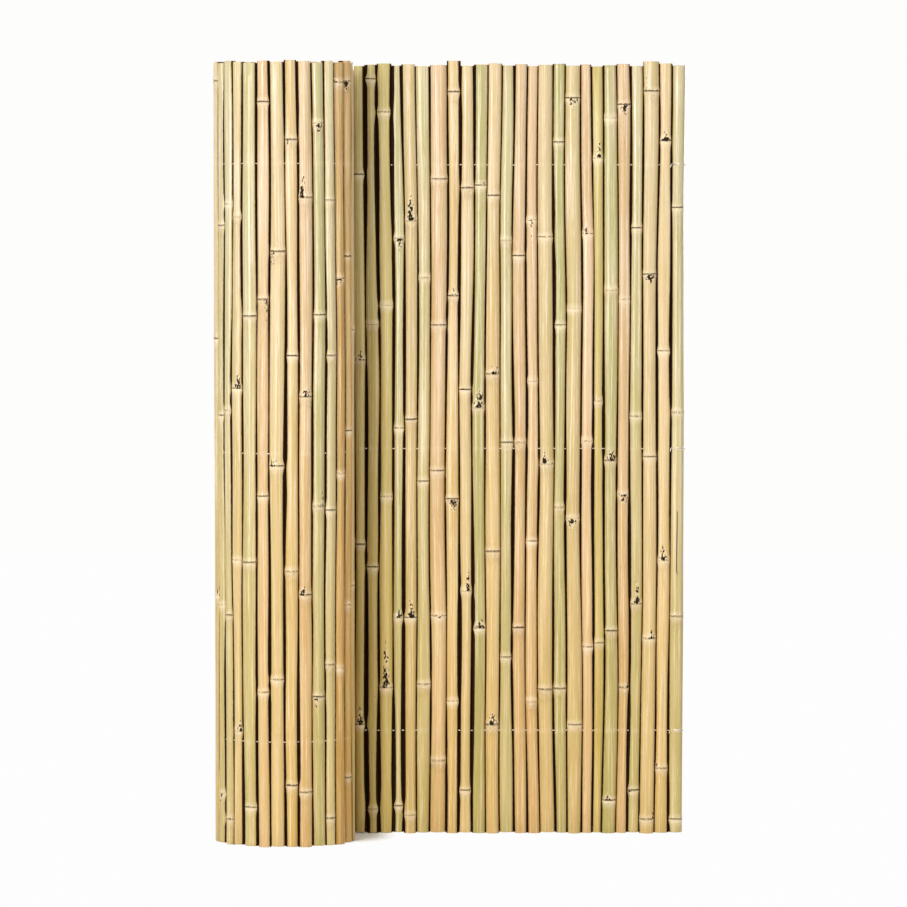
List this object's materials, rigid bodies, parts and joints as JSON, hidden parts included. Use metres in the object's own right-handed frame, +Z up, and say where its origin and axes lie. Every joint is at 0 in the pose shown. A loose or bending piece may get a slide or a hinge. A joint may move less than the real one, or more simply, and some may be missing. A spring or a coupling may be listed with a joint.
{
  "type": "rolled bamboo fence",
  "caption": "Garden fence of whole bamboo canes strung side by side on wires, standing with a flat panel at one end and the rest rolled up.",
  "frame": {"origin": "middle of the fence's outline in plan, on the ground", "axes": "+Z up along the canes, +X along the flat panel towards its free end, -Y to the front, where the roll stands"},
  "size_m": [0.7406, 0.1842, 1.2226],
  "materials": {
    "straw_bamboo": "straw dried bamboo, satin skin with nodes and grain",
    "pale_green_bamboo": "pale green dried bamboo, satin skin with nodes and grain",
    "green_bamboo": "green dried bamboo, satin skin with nodes and grain",
    "peach_bamboo": "peach dried bamboo, satin skin with nodes and grain",
    "golden_bamboo": "golden dried bamboo, satin skin with nodes and grain",
    "olive_bamboo": "olive dried bamboo, satin skin with nodes and grain",
    "tan_bamboo": "tan dried bamboo, satin skin with nodes and grain",
    "galvanised_wire": "dull galvanised wire"
  },
  "bodies": {
    "root": {"panel_cane_01": "pale_green_bamboo", "panel_cane_02": "golden_bamboo", "panel_cane_03": "straw_bamboo", "panel_cane_04": "pale_green_bamboo", "panel_cane_05": "peach_bamboo", "panel_cane_06": "green_bamboo", "panel_cane_07": "olive_bamboo", "panel_cane_08": "peach_bamboo", "panel_cane_09": "straw_bamboo", "panel_cane_10": "green_bamboo", "panel_cane_11": "straw_bamboo", "panel_cane_12": "peach_bamboo", "panel_cane_13": "peach_bamboo", "panel_cane_14": "green_bamboo", "panel_cane_15": "golden_bamboo", "panel_cane_16": "green_bamboo", "panel_cane_17": "straw_bamboo", "panel_cane_18": "golden_bamboo", "panel_cane_19": "peach_bamboo", "panel_cane_20": "pale_green_bamboo", "panel_cane_21": "straw_bamboo", "panel_cane_22": "green_bamboo", "panel_cane_23": "olive_bamboo", "panel_cane_24": "olive_bamboo", "panel_cane_25": "olive_bamboo", "panel_cane_26": "straw_bamboo", "panel_cane_27": "pale_green_bamboo", "panel_cane_28": "golden_bamboo", "panel_cane_29": "green_bamboo", "panel_cane_30": "straw_bamboo", "roll_cane_01": "straw_bamboo", "roll_cane_02": "green_bamboo", "roll_cane_03": "peach_bamboo", "roll_cane_04": "straw_bamboo", "roll_cane_05": "pale_green_bamboo", "roll_cane_06": "golden_bamboo", "roll_cane_07": "straw_bamboo", "roll_cane_08": "pale_green_bamboo", "roll_cane_09": "pale_green_bamboo", "roll_cane_10": "straw_bamboo", "roll_cane_11": "pale_green_bamboo", "roll_cane_12": "peach_bamboo", "roll_cane_13": "straw_bamboo", "roll_cane_14": "golden_bamboo", "roll_cane_15": "peach_bamboo", "roll_cane_16": "green_bamboo", "roll_cane_17": "pale_green_bamboo", "roll_cane_18": "tan_bamboo", "roll_cane_19": "tan_bamboo", "roll_cane_20": "straw_bamboo", "roll_cane_21": "green_bamboo", "roll_inner_turns": "straw_bamboo", "bottom_wire": "galvanised_wire", "middle_wire": "galvanised_wire", "top_wire": "galvanised_wire"}
  },
  "joints": []
}
